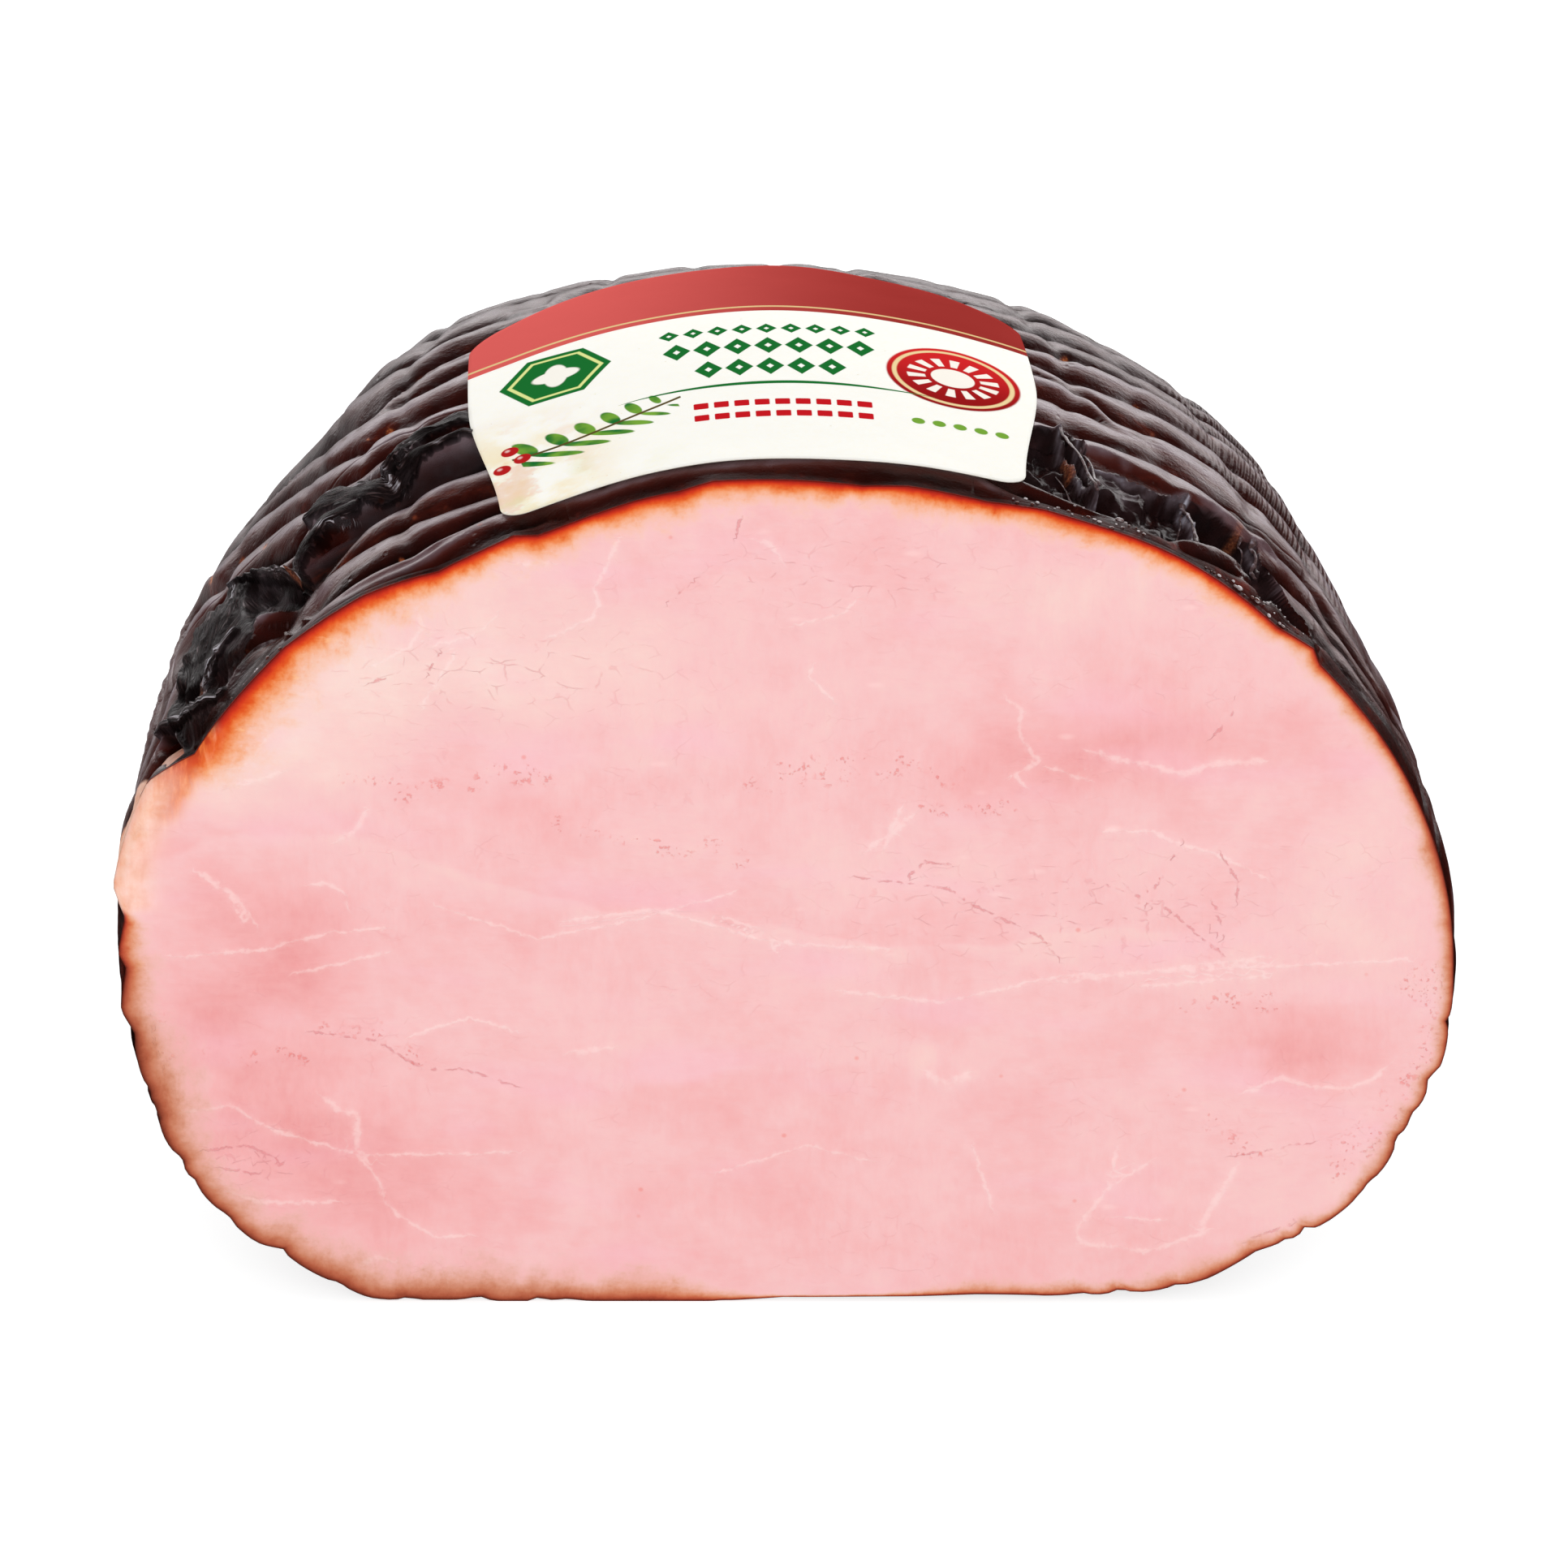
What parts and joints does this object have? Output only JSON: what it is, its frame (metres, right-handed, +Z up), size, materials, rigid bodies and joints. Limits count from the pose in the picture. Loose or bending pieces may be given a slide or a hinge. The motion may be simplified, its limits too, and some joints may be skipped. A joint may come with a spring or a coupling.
{
  "type": "smoked ham",
  "caption": "Half of a boned, net-moulded smoked ham, cut straight across, with a dark ridged rind and a printed paper label over its top.",
  "frame": {"origin": "on the ground under the middle of the part's box", "axes": "+X to the right along the cut face's width, +Y from the cut face towards the rounded end, +Z up; the cut face looks along -Y"},
  "size_m": [0.2208, 0.14, 0.1548],
  "materials": {
    "rind": "dark smoked rind, satin with a slightly wet sheen",
    "label_paper": "printed paper with a smooth coating"
  },
  "bodies": {
    "root": {"ham": "rind", "label": "label_paper"}
  },
  "joints": []
}
